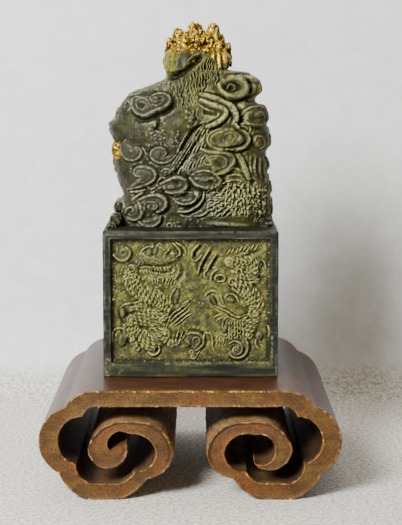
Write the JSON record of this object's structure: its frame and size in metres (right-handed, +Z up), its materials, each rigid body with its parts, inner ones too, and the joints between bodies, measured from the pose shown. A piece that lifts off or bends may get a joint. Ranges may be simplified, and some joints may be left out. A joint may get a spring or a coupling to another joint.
{
  "type": "dragon seal on a scroll stand",
  "caption": "Square cast seal with dragon relief panels and an upright dragon and cloud finial with a gilded crest, resting on a carved wooden scroll stand.",
  "frame": {"origin": "on the floor under the middle of the stand's box", "axes": "+Z up; -Y is the front, which the stand's scrolls and the main relief panel face; +X to the right seen from the front"},
  "size_m": [0.0926, 0.0852, 0.1451],
  "materials": {
    "patinated_bronze": "dark green-brown patina, rubbed light on the ridges, with a gilded crest",
    "carved_wood": "red-brown satin varnish, worn at the edges"
  },
  "bodies": {
    "root": {"dragon_seal": "patinated_bronze", "scroll_stand": "carved_wood"}
  },
  "joints": []
}
